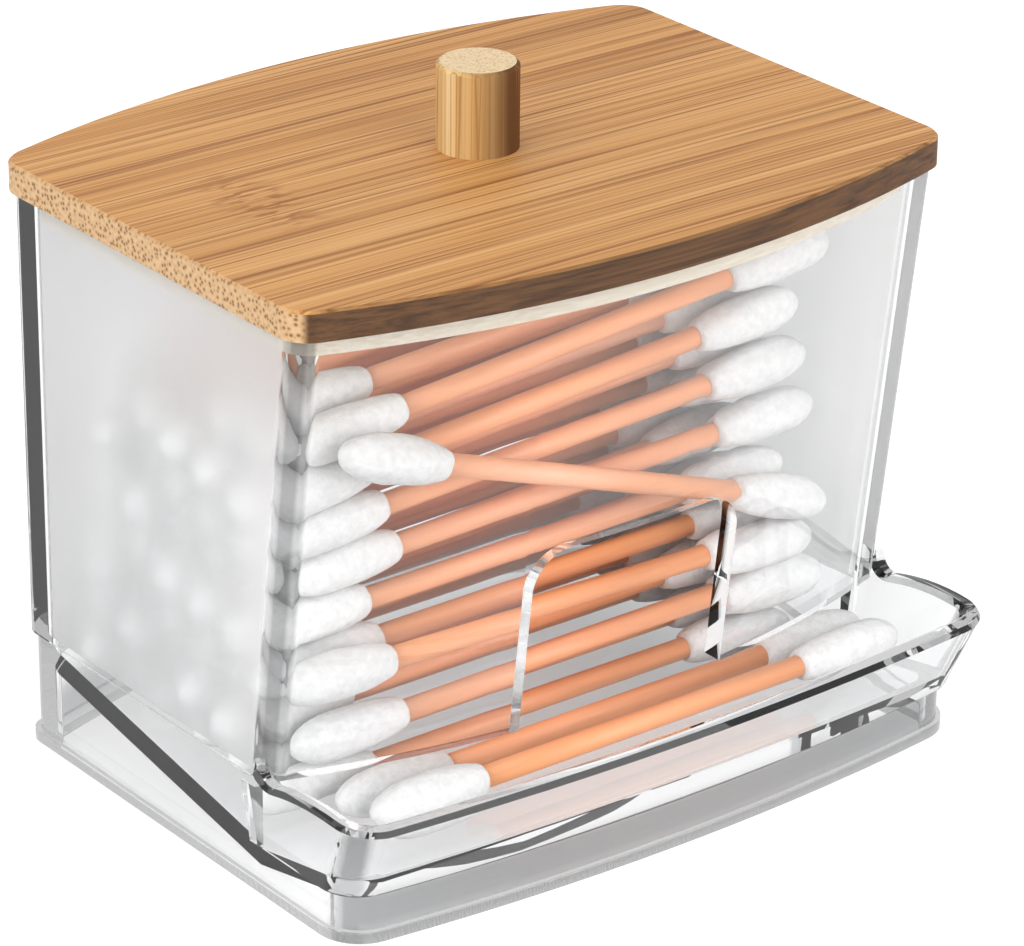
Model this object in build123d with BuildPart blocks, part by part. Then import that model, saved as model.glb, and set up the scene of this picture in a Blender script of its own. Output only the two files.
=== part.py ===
"""Countertop cotton swab dispenser: a clear moulded tank with a scoop tray, a bamboo lid and its swabs.

Millimetres, +Z up, -Y is the tray side. The origin is the middle of the footprint, on the table.
"""

import os
from math import atan, cos, pi, sin, sqrt, tan

from build123d import *

# Tank: straight sides, bowed front and back, front wall leaning in towards its foot
tank_side = 54.4
tank_bow = 7.5
tank_corner = 2.5
tank_top = 68.2
wall = 2.6
front_lean = 6.85

# Base under the tank: a step in from the tank, and a thin foot flange round its bottom edge
base_height = 14.0
base_step = 0.5
foot_height = 1.4
foot_lip = 0.5

# Scoop tray in front of the tank, standing proud of the base on a plinth
tray_reach = 13.75
tray_wall = 2.4
tray_lip = 0.7
tray_corner = 5.0
tray_blend = 2.5
rim_height = 15.2
rim_crest = 1.6
rim_bow = 2.0
rim_flare = 1.2
rim_edge = 0.6
plinth_height = 6.0
plinth_setback = 3.6
plinth_bow = 3.2

# Floor: a ramp down to a valley under the front wall, rising again into the tray
floor_thickness = 2.8
ramp_top = 12.8
valley_height = 5.0
valley_setback = 3.0
valley_round = 6.0
scoop_rise = 4.0

# Finger notch in the foot of the front wall
notch_width = 29.0
notch_height = 22.6
notch_corner = 5.0

# Lid board, its plug, and the knob with the screw that holds it
lid_overhang = 0.8
lid_thickness = 3.5
lid_corner = 4.0
lid_edge = 0.3
plug_depth = 3.0
plug_clearance = 0.5
knob_diameter = 9.4
knob_height = 10.0
knob_edge = 0.4
screw_diameter = 3.0
screw_head = 5.8
screw_bite = 6.0
screw_clearance = 0.05
screw_tip_room = 0.5

# Swabs, whose sticks and tips have six flat sides, with diameters across the flats
swab_length = 76.0
tip_length = 15.0
tip_diameter = 5.2
tip_neck = 3.4
tip_end = 2.4
tip_swell = 5.5
tip_taper = 4.0
stick_diameter = 2.6
swab_sides = 6
swab_gap = 0.4
swab_shift = 3.0
swab_end_room = 0.6
swab_fan = 0.8
swab_rise = 1.6
front_rises = (0.0, 0.8, -2.0, -28.0)
row_turn = 0.8
sheet_turn = 2.4
fill_height = 60.3

# The tank is as wide as its swabs need
tank_width = swab_length + 2 * (swab_shift + swab_end_room + wall)

# Distances from the middle of the tank
tank_half = tank_width / 2
side_half = tank_side / 2
foot_half = side_half - front_lean
base_half = tank_half - base_step
rim_front = foot_half + tank_bow + tray_reach
plinth_front = rim_front - plinth_setback
lid_back = side_half + tank_bow + lid_overhang
tank_y = (rim_front - lid_back) / 2
valley_y = -(foot_half - valley_setback)
tray_back = foot_half - tank_corner
lean = front_lean / (tank_top - base_height)
ramp_slope = (ramp_top - valley_height) / (side_half - valley_y)
scoop_slope = scoop_rise / (plinth_front + valley_y)


def level(height):
    """Horizontal plane over the middle of the tank."""
    return Plane((0, tank_y, height))


def bowed_outline(half_width, front, front_bow, front_corner, back, back_bow, back_corner):
    """Straight sides with arcs for the front and the back, whose distances are those of the corners."""
    with BuildLine() as outline:
        ThreePointArc((-half_width, -front), (0, -front - front_bow), (half_width, -front))
        Line((half_width, -front), (half_width, back))
        ThreePointArc((half_width, back), (0, back + back_bow), (-half_width, back))
        Line((-half_width, back), (-half_width, -front))
    face = make_face(outline.edges())
    fillet(face.vertices().group_by(Axis.Y)[0], front_corner)
    fillet(vertices().group_by(Axis.Y)[-1], back_corner)


def tank_outline(inset, front, corner):
    """The tank's outline at one height, set in by a clearance or out by an overhang."""
    bowed_outline(
        tank_half - inset, front - inset, tank_bow, corner, side_half - inset, tank_bow, corner
    )


def bowed_end(half_width, start, end, bow, corner):
    """Straight sides from a square start to a bowed end with round corners, both in front of the middle."""
    with BuildLine() as outline:
        ThreePointArc((-half_width, -end), (0, -end - bow), (half_width, -end))
        Polyline((half_width, -end), (half_width, -start), (-half_width, -start), (-half_width, -end))
    face = make_face(outline.edges())
    fillet(face.vertices().group_by(Axis.Y)[0], corner)


def tank_block(inset):
    """The whole tank, or with an inset the room in it: an upright back half cut by a leaning front."""
    upright = Plane((0, tank_y, base_height), x_dir=(-1, 0, 0))
    leaning = Plane((0, tank_y, tank_top), x_dir=(1, 0, 0), z_dir=(0, -lean, 1))
    along = cos(atan(lean))
    with BuildPart() as block:
        with BuildSketch(upright):
            bowed_end(tank_half - inset, -tank_width, side_half - inset, tank_bow, tank_corner)
        extrude(amount=tank_top - base_height)
        with BuildSketch(leaning):
            front = (side_half - inset) * along
            bowed_end(tank_half - inset, -tank_width, front, tank_bow * along, tank_corner)
        extrude(amount=tank_top, both=True, mode=Mode.INTERSECT)
    return block.part


def base_outline(inset):
    """The base and plinth seen from above."""
    bowed_outline(
        base_half - inset,
        plinth_front - plinth_bow - inset,
        plinth_bow,
        tray_corner - inset,
        side_half - base_step - inset,
        tank_bow,
        tank_corner,
    )


def tray_outline(height, inset, back):
    """The flaring tray at one height, with a flat back."""
    share = (height - plinth_height) / (rim_height - plinth_height)
    half = base_half + tray_lip + share * rim_flare - inset
    bow = plinth_bow + share * (rim_bow - plinth_bow)
    front = plinth_front + tray_lip + share * (plinth_setback - tray_lip) - bow - inset
    bowed_end(half, back, front, bow, tray_corner - inset)


def floor_points(drop):
    """Side view of the floor line from behind the tank to before the tray, lowered by drop."""
    back = side_half + tank_bow
    front = -rim_front
    return (
        (back, valley_height + ramp_slope * (back - valley_y) - drop),
        (valley_y, valley_height - drop),
        (front, valley_height + scoop_slope * (valley_y - front) - drop),
    )


side_view = Plane(origin=(0, tank_y, 0), x_dir=(0, 1, 0), z_dir=(1, 0, 0))
tray_top = rim_height + rim_crest + 2 * tray_blend

# Room above the floor, inside the base and the tray
with BuildPart() as upper_room:
    with BuildSketch(level(0)):
        bowed_outline(
            base_half - wall,
            foot_half,
            tank_bow,
            tank_corner,
            side_half - base_step - wall,
            tank_bow,
            tank_corner,
        )
    extrude(amount=tray_top)
    for height in (0, tray_top):
        with BuildSketch(level(height)):
            tray_outline(height, tray_wall, tray_back)
    loft()
    with BuildSketch(side_view):
        with BuildLine():
            back_point, valley, front_point = floor_points(0)
            Polyline(
                back_point,
                valley,
                front_point,
                (front_point[0], tray_top),
                (back_point[0], tray_top),
                close=True,
            )
        room = make_face()
        fillet(room.vertices().sort_by(Axis.Y)[0], valley_round)
    extrude(amount=tank_width, both=True, mode=Mode.INTERSECT)

# Room under the floor, open to the table
with BuildPart() as under_room:
    with BuildSketch(level(0)):
        base_outline(wall)
    extrude(amount=base_height)
    with BuildSketch(side_view):
        with BuildLine():
            back_point, valley, front_point = floor_points(floor_thickness)
            Polyline(
                back_point, valley, front_point, (front_point[0], 0), (back_point[0], 0), close=True
            )
        make_face()
    extrude(amount=tank_width, both=True, mode=Mode.INTERSECT)

# Body: base, tray and tank in one moulding
with BuildPart() as body:
    with BuildSketch(level(0)):
        base_outline(-foot_lip)
    extrude(amount=foot_height)
    with BuildSketch(level(foot_height)):
        base_outline(0)
    extrude(amount=base_height - foot_height)
    for height in (plinth_height, tray_top):
        with BuildSketch(level(height)):
            tray_outline(height, 0, tray_back)
    loft()
    # The tray's sides sweep up from the tank to a crest and down to the front rim
    with BuildSketch(side_view):
        with BuildLine():
            crest = (-(foot_half + rim_front) / 2, (base_height + rim_height) / 2 + rim_crest)
            ThreePointArc((-foot_half, base_height), crest, (-rim_front, rim_height))
            Polyline(
                (-rim_front, rim_height),
                (-rim_front - tray_reach, rim_height),
                (-rim_front - tray_reach, 2 * tray_top),
                (-foot_half, 2 * tray_top),
                (-foot_half, base_height),
            )
        sweep_up = make_face()
        fillet(sweep_up.vertices().sort_by_distance((-foot_half, base_height))[0], tray_blend)
        with Locations((-foot_half, base_height)):
            Rectangle(foot_half, 2 * tray_top, align=(Align.MIN, Align.MIN))
    extrude(amount=tank_width, both=True, mode=Mode.SUBTRACT)
    add(upper_room.part, mode=Mode.SUBTRACT)
    rim = faces().filter_by_position(Axis.Y, -2 * rim_front, tank_y - foot_half - tray_blend)
    rim = rim.filter_by(lambda face: face.center().Z > plinth_height and face.normal_at().Z > 0.9)
    chamfer(rim.edges().filter_by_position(Axis.Z, base_height, tray_top), rim_edge)
    add(under_room.part, mode=Mode.SUBTRACT)
    add(tank_block(0))
    add(tank_block(wall), mode=Mode.SUBTRACT)
    with BuildSketch(Plane.XZ.offset(foot_half - tank_corner - tank_y)):
        with BuildLine():
            Polyline(
                (-notch_width / 2, base_height),
                (-notch_width / 2, base_height + notch_height),
                (notch_width / 2, base_height + notch_height),
                (notch_width / 2, base_height),
                close=True,
            )
        notch = make_face()
        fillet(notch.vertices().group_by(Axis.Y)[-1], notch_corner)
    extrude(amount=tank_bow + tray_reach / 2, mode=Mode.SUBTRACT)

# Lid board with the plug that drops into the tank
with BuildPart() as lid_board:
    with BuildSketch(level(tank_top)):
        tank_outline(-lid_overhang, side_half, lid_corner)
    extrude(amount=lid_thickness)
    chamfer(edges().group_by(Axis.Z)[-1], lid_edge)
    with BuildSketch(level(tank_top)):
        tank_outline(wall + plug_clearance, side_half - lean * plug_depth, tank_corner)
    extrude(amount=-plug_depth)
    with Locations(-level(tank_top - plug_depth)):
        CounterSinkHole(
            radius=screw_diameter / 2 + screw_clearance,
            counter_sink_radius=screw_head / 2 + screw_clearance,
            counter_sink_angle=90,
        )

# Knob: a dowel standing on the lid
lid_top = tank_top + lid_thickness
with BuildPart() as lid_knob:
    with BuildSketch(level(lid_top)):
        Circle(knob_diameter / 2)
    extrude(amount=knob_height)
    chamfer(edges().group_by(Axis.Z)[-1], knob_edge)
    with BuildSketch(level(lid_top)):
        Circle(screw_diameter / 2 + screw_clearance)
    extrude(amount=screw_bite + screw_tip_room, mode=Mode.SUBTRACT)

# Countersunk screw up through the lid into the knob
with BuildPart() as knob_screw:
    with BuildSketch(side_view):
        with BuildLine():
            head_z = tank_top - plug_depth
            neck_z = head_z + (screw_head - screw_diameter) / 2
            Polyline(
                (0, head_z),
                (screw_head / 2, head_z),
                (screw_diameter / 2, neck_z),
                (screw_diameter / 2, lid_top + screw_bite),
                (0, lid_top + screw_bite),
                close=True,
            )
        make_face()
    revolve(axis=Axis((0, tank_y, 0), (0, 0, 1)))


def arc_rise(half_width, bow, x):
    """How far a bowed wall stands out of its chord at x."""
    radius = (half_width**2 + bow**2) / (2 * bow)
    return sqrt(radius**2 - x**2) - (radius - bow)


def seat(slope):
    """Height of a swab's axis over the sloping floor that it lies on."""
    return tip_diameter / 2 * (1 + slope * tan(pi / swab_sides)) + swab_gap / 2


def scatter(number):
    """Evenly scattered values from -1 to 1, the same each time."""
    golden = (sqrt(5) - 1) / 2
    return 2 * (number * golden % 1) - 1


def swab_axes():
    """Axis of every swab, centred on it: sheets of rows on the ramp behind the front wall, and two in front."""
    pitch = tip_diameter + swab_gap
    reach = swab_length / 2
    widest = reach + swab_shift
    front = foot_half - wall + arc_rise(tank_half - wall, tank_bow, widest)
    back = side_half - wall + arc_rise(tank_half - wall, tank_bow, widest)
    sheet_pitch = tip_diameter / cos(pi / swab_sides) + swab_gap
    axes = []
    for sheet in range(int((front + back) / sheet_pitch)):
        y = -front + (sheet + 1 / 2) * sheet_pitch
        floor = valley_height + ramp_slope * (y + lean * base_height - valley_y)
        height = floor + seat(ramp_slope)
        slope = shift = row = 0
        while True:
            rise = swab_fan * row + swab_rise * sin(row * row_turn + sheet * sheet_turn) if row else 0
            if sheet == 0 and row < len(front_rises):
                rise = front_rises[row]
            below, below_slope, below_shift = height, slope, shift
            slope = rise / swab_length
            shift = swab_shift * scatter(len(axes))
            if row:
                fat = reach - tip_taper
                touching = (max(shift, below_shift) - fat, min(shift, below_shift) + fat)
                gaps = [below_slope * (x - below_shift) - slope * (x - shift) for x in touching]
                height = below + max(gaps) + pitch
            if height + abs(rise) / 2 + pitch / 2 > fill_height:
                break
            centre = Vector(shift, tank_y + y - lean * (height - base_height), height)
            axes.append(swab_axis(centre, Vector(1, -lean * slope, slope)))
            row += 1
    for place in (1, 2):
        y = -front + (1 / 2 - place) * sheet_pitch
        z = valley_height + scoop_slope * (valley_y - y) + seat(scoop_slope)
        axes.append(swab_axis(Vector(swab_shift, tank_y + y, z), Vector(1, 0, 0)))
    return axes


def swab_axis(centre, direction):
    """Plane at a swab's middle, with its Z axis along the swab."""
    return Plane(centre, x_dir=(0, 1, 0), z_dir=direction)


def swab_section(diameter):
    """Section of a stick or a tip, with flats on top and below and corners to the front and back."""
    RegularPolygon(diameter / 2, swab_sides, major_radius=False)


# One stick and one cotton tip, each standing on its neck end
stick_length = swab_length - 2 * tip_length
with BuildPart() as stick_form:
    with BuildSketch():
        swab_section(stick_diameter)
    extrude(amount=stick_length)

with BuildPart() as tip_form:
    with BuildSketch():
        swab_section(tip_diameter)
    extrude(amount=tip_length)
    neck = faces().sort_by(Axis.Z)[0]
    chamfer(neck.edges(), (tip_diameter - tip_neck) / 2, tip_swell, reference=neck)
    end = faces().sort_by(Axis.Z)[-1]
    chamfer(end.edges(), (tip_diameter - tip_end) / 2, tip_taper, reference=end)

# All the sticks and all the tips of the pile and the tray
swabs = swab_axes()
with BuildPart() as swab_sticks:
    with Locations(*[axis.offset(-stick_length / 2) for axis in swabs]):
        add(stick_form.part)

with BuildPart() as swab_tips:
    with Locations(*[axis.offset(stick_length / 2) for axis in swabs]):
        add(tip_form.part)
    with Locations(*[(-axis).offset(stick_length / 2) for axis in swabs]):
        add(tip_form.part)

os.makedirs("parts", exist_ok=True)
pieces = {
    "body": body,
    "lid_board": lid_board,
    "lid_knob": lid_knob,
    "knob_screw": knob_screw,
    "swab_sticks": swab_sticks,
    "swab_tips": swab_tips,
}
for name, piece in pieces.items():
    piece.part.label = name
    export_step(piece.part, f"parts/{name}.step")
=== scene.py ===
import math
import random

import bmesh
import bpy
import numpy as np
from mathutils import Matrix, Vector


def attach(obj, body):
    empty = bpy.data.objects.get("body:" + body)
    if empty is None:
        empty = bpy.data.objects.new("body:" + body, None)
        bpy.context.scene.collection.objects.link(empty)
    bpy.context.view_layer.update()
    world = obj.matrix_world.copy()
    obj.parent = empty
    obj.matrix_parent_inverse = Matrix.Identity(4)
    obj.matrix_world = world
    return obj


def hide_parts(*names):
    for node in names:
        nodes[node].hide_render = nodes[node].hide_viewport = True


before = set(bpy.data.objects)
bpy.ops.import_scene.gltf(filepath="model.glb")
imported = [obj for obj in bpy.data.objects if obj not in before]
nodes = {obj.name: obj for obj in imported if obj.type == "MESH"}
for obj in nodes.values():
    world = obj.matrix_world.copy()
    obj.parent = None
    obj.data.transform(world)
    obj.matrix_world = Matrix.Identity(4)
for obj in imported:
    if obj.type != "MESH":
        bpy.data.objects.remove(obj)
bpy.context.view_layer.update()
scene = bpy.context.scene


# Sizes and places on the object, in metres

stick_radius = 0.0013
stick_sides = 20
tip_radius = 0.0027
tip_length = 0.015
tip_sides = 28
tip_profile = (
    (0.0, 0.6), (0.03, 0.7), (0.1, 0.8), (0.2, 0.9), (0.32, 0.97),
    (0.45, 1.0), (0.58, 1.0), (0.68, 0.99), (0.76, 0.94), (0.83, 0.85),
    (0.89, 0.72), (0.94, 0.55), (0.975, 0.36), (0.995, 0.16), (1.0, 0.04),
)
tip_lobes = 3
tip_swell = (0.01, 0.025)
tip_twist = 0.5
tip_roughness = 0.022

edge_rounding = 0.0003
sharp_angle = math.radians(24)
flat_angle = math.radians(0.3)
weld_distance = 2e-6
end_wall_inside = (0.039, 0.043)
end_wall_low = 0.02
# Heights of the band on the foot's front that gets a painted dark reflection
foot_reflection_band = (-0.001, 0.0075, 0.0025)

plug_band = (0.0, 0.0681, 0.0001)
node_mark = (-0.0295, 0.003, 0.0717)
node_mark_reach = (0.006, 0.0125, 0.004)
# Patch on the knob's right side that is darkened as painted shade
knob_painted_shade = (0.0037, 0.0002, 0.077)
knob_painted_shade_reach = (0.0088, 0.0088, 0.04)


# Studio

floor_half = 3.0
floor_grey = 0.725
floor_seen_glow = 0.38
floor_direct_glow = 0.1
world_light = 0.82
world_seen = 1.0
lamp_target = (0, 0, 0.04)
key_lamp = ((-0.8, -0.1, 0.36), 0.6, 2.8)
fill_lamp = ((0.15, -0.8, 0.2), 0.8, 5.0)
camera_place = (-0.30609, -0.39696, 0.2603)
camera_angles = (-37.9, 24.42, 0.55)
camera_lens = 169.24
camera_sensor = 36.0


# Node helpers

def new_material(name):
    """A material with one Principled shader."""
    material = bpy.data.materials.new(name)
    material.use_nodes = True
    tree = material.node_tree
    tree.nodes.clear()
    output = tree.nodes.new("ShaderNodeOutputMaterial")
    shader = tree.nodes.new("ShaderNodeBsdfPrincipled")
    tree.links.new(shader.outputs[0], output.inputs["Surface"])
    return material, tree, shader


def feed(tree, socket, value):
    """Gives a socket a link, a colour or a number."""
    if isinstance(value, bpy.types.NodeSocket):
        tree.links.new(value, socket)
    elif isinstance(value, tuple):
        socket.default_value = (*value, 1.0)
    else:
        socket.default_value = value


def maths(tree, operation, a, b=0.0):
    node = tree.nodes.new("ShaderNodeMath")
    node.operation = operation
    feed(tree, node.inputs[0], a)
    feed(tree, node.inputs[1], b)
    return node.outputs[0]


def mix(tree, fac, a, b, blend="MIX"):
    node = tree.nodes.new("ShaderNodeMix")
    node.data_type = "RGBA"
    node.blend_type = blend
    feed(tree, node.inputs[0], fac)
    feed(tree, node.inputs[6], a)
    feed(tree, node.inputs[7], b)
    return node.outputs[2]


def ramp(tree, fac, stops):
    """Colour ramp from (place, colour) pairs."""
    node = tree.nodes.new("ShaderNodeValToRGB")
    points = node.color_ramp.elements
    while len(points) < len(stops):
        points.new(0.5)
    for point, (place, colour) in zip(points, stops):
        point.position = place
        point.color = (*colour, 1.0)
    feed(tree, node.inputs["Fac"], fac)
    return node.outputs["Color"]


def grey(place, value):
    return (place, (value, value, value))


def smooth_step(tree, value, start, end):
    """0 where a value is at the start and 1 where it is at the end, with a smooth rise between."""
    node = tree.nodes.new("ShaderNodeMapRange")
    node.interpolation_type = "SMOOTHSTEP"
    node.inputs["From Min"].default_value = start
    node.inputs["From Max"].default_value = end
    feed(tree, node.inputs["Value"], value)
    return node.outputs["Result"]


def coordinates(tree, kind):
    return tree.nodes.new("ShaderNodeTexCoord").outputs[kind]


def one_axis(tree, vector, axis):
    parts = tree.nodes.new("ShaderNodeSeparateXYZ")
    feed(tree, parts.inputs[0], vector)
    return parts.outputs[axis]


def mapped(tree, scale, shift=(0, 0, 0)):
    """Object coordinates, stretched and then shifted."""
    node = tree.nodes.new("ShaderNodeMapping")
    node.inputs["Location"].default_value = shift
    node.inputs["Scale"].default_value = scale
    feed(tree, node.inputs["Vector"], coordinates(tree, "Object"))
    return node.outputs["Vector"]


def noise(tree, scale, detail, roughness=0.5):
    """Noise with a scale of its own along each axis."""
    node = tree.nodes.new("ShaderNodeTexNoise")
    node.inputs["Scale"].default_value = 1.0
    node.inputs["Detail"].default_value = detail
    node.inputs["Roughness"].default_value = roughness
    feed(tree, node.inputs["Vector"], mapped(tree, scale))
    return node.outputs["Fac"]


def cells(tree, scale):
    """Distance to the nearest of many scattered points."""
    node = tree.nodes.new("ShaderNodeTexVoronoi")
    node.inputs["Scale"].default_value = 1.0
    feed(tree, node.inputs["Vector"], mapped(tree, scale))
    return node.outputs["Distance"]


def thin_lines(tree, scale, width):
    """Thin lines along the contours of a stretched noise."""
    height = noise(tree, scale, 2, 0.55)
    middle = maths(tree, "ABSOLUTE", maths(tree, "SUBTRACT", height, 0.5))
    return smooth_step(tree, middle, width, 0.0)


def facing(tree, axis, low=0.55, high=0.8):
    """1 on faces that look along an axis of the object, either way, and 0 elsewhere."""
    normal = one_axis(tree, coordinates(tree, "Normal"), axis)
    return smooth_step(tree, maths(tree, "ABSOLUTE", normal), low, high)


def spot(tree, centre, reach):
    """1 in the middle of an elliptical patch of the object, fading to 0 at its reach."""
    scale = [1 / r for r in reach]
    shift = [-c / r for c, r in zip(centre, reach)]
    length = tree.nodes.new("ShaderNodeVectorMath")
    length.operation = "LENGTH"
    feed(tree, length.inputs[0], mapped(tree, scale, shift))
    return smooth_step(tree, length.outputs["Value"], 1.0, 0.35)


def at_height(tree, low, high, fade):
    """1 between two heights on the object, fading to 0 at both."""
    height = one_axis(tree, coordinates(tree, "Object"), "Z")
    above = maths(tree, "DIVIDE", maths(tree, "SUBTRACT", height, low), fade)
    below = maths(tree, "DIVIDE", maths(tree, "SUBTRACT", high, height), fade)
    share = maths(tree, "MINIMUM", above, below)
    return maths(tree, "MINIMUM", maths(tree, "MAXIMUM", share, 0.0), 1.0)


def bump(tree, shader, height, strength, distance):
    node = tree.nodes.new("ShaderNodeBump")
    node.inputs["Strength"].default_value = strength
    node.inputs["Distance"].default_value = distance
    feed(tree, node.inputs["Height"], height)
    feed(tree, shader.inputs["Normal"], node.outputs["Normal"])


# Plastic

clear = (0.965, 0.97, 0.975)
# Grey that darkens the clear body where a dark reflection is painted in
painted_reflection_grey = (0.42, 0.425, 0.43)


def see_through(shader, transmission, roughness):
    shader.inputs["Transmission Weight"].default_value = transmission
    shader.inputs["Roughness"].default_value = roughness
    shader.inputs["IOR"].default_value = 1.5


def clear_plastic():
    """Clear, with a painted dark reflection tinted in along the foot's front and at the corners."""
    material, tree, shader = new_material("clear_plastic")
    # Along the foot's front and at the corners the clear colour is darkened: painted dark
    # reflection
    foot_painted_reflection = maths(tree, "MULTIPLY", at_height(tree, *foot_reflection_band), facing(tree, "Y"))
    turned = maths(tree, "SUBTRACT", 1.0, facing(tree, "X", 0.9, 0.98))
    corner_painted_reflection = maths(tree, "MULTIPLY", facing(tree, "X", 0.4, 0.6), turned)
    painted_reflection = maths(tree, "MAXIMUM", foot_painted_reflection, corner_painted_reflection)
    feed(tree, shader.inputs["Base Color"], mix(tree, painted_reflection, clear, painted_reflection_grey))
    see_through(shader, 1.0, 0.0)
    return material


def milky_plastic():
    """The same plastic where it is hazy, on the inside of the tank's ends."""
    material, tree, shader = new_material("milky_plastic")
    feed(tree, shader.inputs["Base Color"], clear)
    see_through(shader, 0.72, 0.74)
    return material


# Bamboo

def satin(tree, shader, fibres, shine):
    """A dull shine that follows the fibres."""
    shader.inputs["Specular IOR Level"].default_value = shine
    feed(tree, shader.inputs["Roughness"], ramp(tree, fibres, (grey(0.3, 0.65), grey(0.7, 0.5))))


def board_grain(tree, fibres):
    """Colour of the board's top, and its dark grain lines."""
    strips = noise(tree, (2, 210, 210), 1)
    dark, mid, pale = (0.57, 0.265, 0.076), (0.64, 0.32, 0.102), (0.72, 0.385, 0.14)
    colour = ramp(tree, strips, ((0.3, dark), (0.5, mid), (0.7, pale)))
    shade = ramp(tree, fibres, (grey(0.34, 0.8), grey(0.6, 1.09)))
    colour = mix(tree, 1.0, colour, shade, "MULTIPLY")
    bold = thin_lines(tree, (1.6, 420, 420), 0.04)
    fine = maths(tree, "MULTIPLY", thin_lines(tree, (3, 900, 900), 0.04), 0.75)
    fade = ramp(tree, noise(tree, (24, 520, 520), 2), (grey(0.36, 0.2), grey(0.54, 0.95)))
    lines = maths(tree, "MULTIPLY", maths(tree, "MAXIMUM", bold, fine), fade)
    return mix(tree, lines, colour, (0.29, 0.1, 0.018)), lines


def node_dashes(tree):
    """Short dashes where a node of the cane crosses the board."""
    dashes = ramp(tree, noise(tree, (260, 1300, 1300), 2), (grey(0.5, 0.0), grey(0.58, 1.0)))
    mark = maths(tree, "MULTIPLY", spot(tree, node_mark, node_mark_reach), dashes)
    return maths(tree, "MULTIPLY", mark, 0.8)


def bamboo_board():
    """Grain on top, painted shade darkening the front and back edges, pores on the ends and a pale
    plug.
    """
    material, tree, shader = new_material("bamboo_board")
    fibres = noise(tree, (14, 2400, 2400), 3, 0.6)
    colour, lines = board_grain(tree, fibres)
    colour = mix(tree, node_dashes(tree), colour, (0.33, 0.11, 0.022))
    # Front and back edges are darkened to near black: painted shade
    streaks = noise(tree, (30, 900, 1800), 3, 0.6)
    edge_painted_shade = ramp(tree, streaks, ((0.35, (0.05, 0.02, 0.006)), (0.6, (0.12, 0.052, 0.016))))
    colour = mix(tree, facing(tree, "Y"), colour, edge_painted_shade)
    pores = cells(tree, (700, 1700, 1700))
    dark, mid, pale = (0.27, 0.135, 0.055), (0.6, 0.375, 0.19), (0.7, 0.465, 0.25)
    end = ramp(tree, pores, ((0.22, dark), (0.42, mid), (0.8, pale)))
    colour = mix(tree, facing(tree, "X"), colour, end)
    plug = ramp(tree, fibres, ((0.3, (0.7, 0.6, 0.46)), (0.7, (0.84, 0.77, 0.65))))
    colour = mix(tree, at_height(tree, *plug_band), colour, plug)
    feed(tree, shader.inputs["Base Color"], colour)
    satin(tree, shader, fibres, 0.35)
    bump(tree, shader, maths(tree, "SUBTRACT", fibres, lines), 0.15, 0.0003)
    return material


def bamboo_dowel():
    """Upright grain, painted shade darkening one side, and a pale pored top."""
    material, tree, shader = new_material("bamboo_dowel")
    strips = noise(tree, (330, 330, 5), 2)
    fibres = noise(tree, (1500, 1500, 14), 3, 0.6)
    lines = thin_lines(tree, (520, 520, 8), 0.03)
    dark, mid, pale = (0.62, 0.36, 0.135), (0.72, 0.47, 0.2), (0.8, 0.59, 0.31)
    colour = ramp(tree, strips, ((0.33, dark), (0.5, mid), (0.66, pale)))
    shade = ramp(tree, fibres, (grey(0.32, 0.84), grey(0.62, 1.05)))
    colour = mix(tree, 1.0, colour, shade, "MULTIPLY")
    # One side of the knob is darkened: painted shade
    side_painted_shade = maths(tree, "MULTIPLY", spot(tree, knob_painted_shade, knob_painted_shade_reach), 0.96)
    colour = mix(tree, side_painted_shade, colour, (0.085, 0.025, 0.004))
    colour = mix(tree, maths(tree, "MULTIPLY", lines, 0.6), colour, (0.3, 0.125, 0.03))
    pores = cells(tree, (2300, 2300, 900))
    dark, mid, pale = (0.56, 0.38, 0.19), (0.76, 0.57, 0.34), (0.82, 0.64, 0.41)
    end = ramp(tree, pores, ((0.12, dark), (0.35, mid), (0.7, pale)))
    colour = mix(tree, facing(tree, "Z", 0.8, 0.95), colour, end)
    feed(tree, shader.inputs["Base Color"], colour)
    satin(tree, shader, fibres, 0.1)
    bump(tree, shader, maths(tree, "SUBTRACT", fibres, lines), 0.2, 0.0003)
    return material


# Screw, paper and cotton

def screw_steel():
    material, tree, shader = new_material("screw_steel")
    feed(tree, shader.inputs["Base Color"], (0.62, 0.62, 0.64))
    shader.inputs["Metallic"].default_value = 1.0
    turned = noise(tree, (400, 400, 4000), 2)
    feed(tree, shader.inputs["Roughness"], ramp(tree, turned, (grey(0.3, 0.22), grey(0.7, 0.4))))
    return material


def swab_stick():
    """Rolled paper, from orange to salmon, a little different from stick to stick."""
    material, tree, shader = new_material("swab_stick")
    orange, deep = (0.95, 0.42, 0.16), (0.96, 0.41, 0.2)
    salmon, pale = (0.97, 0.45, 0.25), (0.98, 0.54, 0.36)
    each = noise(tree, (3, 110, 110), 2)
    colour = ramp(tree, each, ((0.3, orange), (0.45, deep), (0.6, salmon), (0.72, pale)))
    wrap = noise(tree, (60, 900, 900), 3, 0.6)
    shade = ramp(tree, wrap, (grey(0.3, 0.9), grey(0.7, 1.05)))
    feed(tree, shader.inputs["Base Color"], mix(tree, 1.0, colour, shade, "MULTIPLY"))
    feed(tree, shader.inputs["Roughness"], ramp(tree, wrap, (grey(0.3, 0.3), grey(0.7, 0.45))))
    return material


def swab_cotton():
    material, tree, shader = new_material("swab_cotton")
    shader.inputs["Roughness"].default_value = 0.95
    lint = noise(tree, (900, 900, 900), 2, 0.7)
    feed(tree, shader.inputs["Base Color"], ramp(tree, lint, (grey(0.3, 0.73), grey(0.65, 0.83))))
    bump(tree, shader, lint, 0.45, 0.0005)
    return material


# Pieces that take the place of a CAD node

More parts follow.
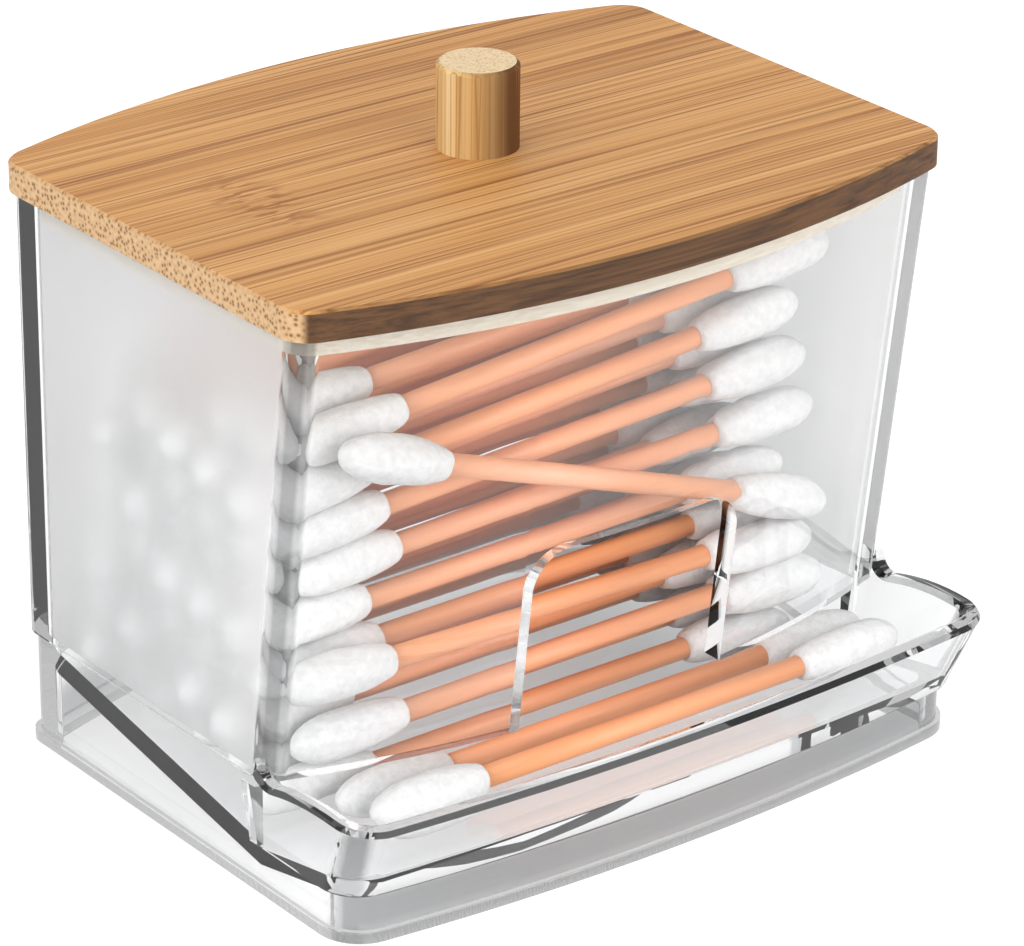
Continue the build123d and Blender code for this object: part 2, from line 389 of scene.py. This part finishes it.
def new_piece(bm, name, material, node):
    """A smooth piece that rides on the dispenser and replaces one of its nodes."""
    mesh = bpy.data.meshes.new(name)
    bm.normal_update()
    bm.to_mesh(mesh)
    bm.free()
    for polygon in mesh.polygons:
        polygon.use_smooth = True
    mesh.materials.append(material)
    piece = bpy.data.objects.new(name, mesh)
    scene.collection.objects.link(piece)
    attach(piece, "dispenser")
    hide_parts(node)
    return piece


# Swabs: round sticks and uneven tips along the axes of the solid ones

def islands(obj):
    """Groups of points of the separate solids in a node."""
    mesh = obj.data
    keys = {}
    index = [keys.setdefault(tuple(np.round(v.co, 6)), len(keys)) for v in mesh.vertices]
    parent = list(range(len(keys)))

    def root(i):
        while parent[i] != i:
            parent[i] = parent[parent[i]]
            i = parent[i]
        return i

    for polygon in mesh.polygons:
        first = root(index[polygon.vertices[0]])
        for vertex in polygon.vertices[1:]:
            parent[root(index[vertex])] = first
    groups = {}
    for point, key in keys.items():
        groups.setdefault(root(key), []).append(point)
    return [np.array(group) for group in groups.values()]


def stick_ends(points):
    """Middles of a straight stick's two ends, left one first."""
    centre = points.mean(axis=0)
    direction = np.linalg.svd(points - centre)[2][0]
    direction *= np.sign(direction[0])
    half = ((points - centre) @ direction).max()
    return Vector(centre - direction * half), Vector(centre + direction * half)


def even(place, side):
    return 1.0


def tube(bm, origin, axis, rings, sides, swell=even):
    """Closed round form along an axis: rings are (distance along, radius)."""
    turn = axis.to_track_quat("Z", "Y").to_matrix()
    loops = []
    for place, (distance, radius) in enumerate(rings):
        loop = []
        for side in range(sides):
            angle = 2 * math.pi * side / sides
            local = Vector((math.cos(angle), math.sin(angle), 0))
            local *= radius * swell(place, side)
            loop.append(bm.verts.new(origin + turn @ local + axis * distance))
        loops.append(loop)
    for a, b in zip(loops, loops[1:]):
        for side in range(sides):
            after = (side + 1) % sides
            bm.faces.new((a[side], a[after], b[after], b[side]))
    bm.faces.new(reversed(loops[0]))
    bm.faces.new(loops[-1])


def cotton_tip(bm, origin, outward):
    """One tip, with a few broad lobes and a fine unevenness."""
    lobes = [
        (rng.randint(2, 5), rng.uniform(0, 6.28), rng.uniform(*tip_swell))
        for _ in range(tip_lobes)
    ]
    rough = [
        [rng.uniform(-tip_roughness, tip_roughness) for _ in range(tip_sides)]
        for _ in tip_profile
    ]

    def swell(place, side):
        angle = 2 * math.pi * side / tip_sides
        broad = sum(
            size * math.sin(count * angle + phase + tip_twist * place)
            for count, phase, size in lobes
        )
        return 1 + broad + rough[place][side]

    rings = [(share * tip_length, tip_radius * size) for share, size in tip_profile]
    tube(bm, origin, outward, rings, tip_sides, swell)


rng = random.Random(7)
stick_mesh = bmesh.new()
tip_mesh = bmesh.new()
for points in islands(nodes["swab_sticks"]):
    left, right = stick_ends(points)
    axis = (right - left).normalized()
    rings = [(0.0, stick_radius), ((right - left).length, stick_radius)]
    tube(stick_mesh, left, axis, rings, stick_sides)
    cotton_tip(tip_mesh, left, -axis)
    cotton_tip(tip_mesh, right, axis)

new_piece(stick_mesh, "paper_sticks", swab_stick(), "swab_sticks")
new_piece(tip_mesh, "cotton_tips", swab_cotton(), "swab_tips")


# Body: the moulding with its edges softly rounded and its ends hazy inside

def is_hazy(polygon):
    low, high = end_wall_inside
    on_end = abs(polygon.normal.x) > 0.97 and low < abs(polygon.center.x) < high
    return on_end and polygon.center.z > end_wall_low


body_mesh = bmesh.new()
body_mesh.from_mesh(nodes["body"].data)
bmesh.ops.remove_doubles(body_mesh, verts=body_mesh.verts, dist=weld_distance)
bmesh.ops.dissolve_limit(
    body_mesh, angle_limit=flat_angle, verts=body_mesh.verts, edges=body_mesh.edges
)
bmesh.ops.bevel(
    body_mesh,
    geom=[edge for edge in body_mesh.edges if edge.calc_face_angle(0) > sharp_angle],
    offset=edge_rounding,
    segments=2,
    profile=0.5,
    affect="EDGES",
    clamp_overlap=True,
)
moulding = new_piece(body_mesh, "moulded_body", clear_plastic(), "body")
moulding.visible_shadow = False
moulding.data.materials.append(milky_plastic())
for polygon in moulding.data.polygons:
    polygon.material_index = int(is_hazy(polygon))
weighted = moulding.modifiers.new("even_normals", "WEIGHTED_NORMAL")
weighted.mode = "FACE_AREA"
weighted.weight = 50


# Lid, knob and screw keep their CAD meshes

def dress(node, material):
    mesh = nodes[node].data
    mesh.materials.clear()
    mesh.materials.append(material)


dress("lid_board", bamboo_board())
dress("lid_knob", bamboo_dowel())
dress("knob_screw", screw_steel())


# Floor and world: white to the camera, also through the body, and plain in the light they give

def looked_at(tree):
    """1 for what the camera sees, also reflected or through the body, and 0 for what lights."""
    path = tree.nodes.new("ShaderNodeLightPath").outputs
    bent = maths(tree, "MAXIMUM", path["Is Glossy Ray"], path["Is Transmission Ray"])
    seen = maths(tree, "MAXIMUM", path["Is Camera Ray"], bent)
    return maths(tree, "MULTIPLY", seen, maths(tree, "LESS_THAN", path["Diffuse Depth"], 0.5))


floor_mesh = bpy.data.meshes.new("floor")
corners = [(x * floor_half, y * floor_half, 0) for x, y in ((-1, -1), (1, -1), (1, 1), (-1, 1))]
floor_mesh.from_pydata(corners, [], [(0, 1, 2, 3)])
floor = bpy.data.objects.new("floor", floor_mesh)
scene.collection.objects.link(floor)
material, tree, shader = new_material("floor_white")
feed(tree, shader.inputs["Base Color"], (floor_grey, floor_grey, floor_grey))
shader.inputs["Roughness"].default_value = 0.9
feed(tree, shader.inputs["Emission Color"], (1.0, 1.0, 1.0))
direct = tree.nodes.new("ShaderNodeLightPath").outputs["Is Camera Ray"]
glow = maths(
    tree,
    "ADD",
    maths(tree, "MULTIPLY", looked_at(tree), floor_seen_glow),
    maths(tree, "MULTIPLY", direct, floor_direct_glow),
)
feed(tree, shader.inputs["Emission Strength"], glow)
floor_mesh.materials.append(material)

world = bpy.data.worlds.new("studio")
scene.world = world
world.use_nodes = True
tree = world.node_tree
tree.nodes.clear()
output = tree.nodes.new("ShaderNodeOutputWorld")
background = tree.nodes.new("ShaderNodeBackground")
feed(tree, output.inputs["Surface"], background.outputs[0])
feed(tree, background.inputs["Color"], (1.0, 1.0, 1.0))
extra = maths(tree, "MULTIPLY", looked_at(tree), world_seen - world_light)
feed(tree, background.inputs["Strength"], maths(tree, "ADD", extra, world_light))


# Lamps and camera

def lamp(name, place, size, power):
    data = bpy.data.lights.new(name, "AREA")
    data.size = size
    data.energy = power
    obj = bpy.data.objects.new(name, data)
    scene.collection.objects.link(obj)
    obj.location = place
    obj.rotation_mode = "QUATERNION"
    obj.rotation_quaternion = (Vector(lamp_target) - Vector(place)).to_track_quat("-Z", "Y")


lamp("key", *key_lamp)
lamp("fill", *fill_lamp)

azimuth, elevation, roll = (math.radians(angle) for angle in camera_angles)
back = Vector((
    math.sin(azimuth) * math.cos(elevation),
    -math.cos(azimuth) * math.cos(elevation),
    math.sin(elevation),
))
level = Vector((math.cos(azimuth), math.sin(azimuth), 0))
up = back.cross(level)
across = math.cos(roll) * level + math.sin(roll) * up
upward = -math.sin(roll) * level + math.cos(roll) * up
camera_data = bpy.data.cameras.new("camera")
camera_data.sensor_width = camera_sensor
camera_data.lens = camera_lens
camera_data.clip_start = 0.05
camera = bpy.data.objects.new("camera", camera_data)
scene.collection.objects.link(camera)
turned = Matrix((across, upward, back)).transposed().to_4x4()
camera.matrix_world = Matrix.Translation(camera_place) @ turned
scene.camera = camera
scene.view_settings.view_transform = "Standard"
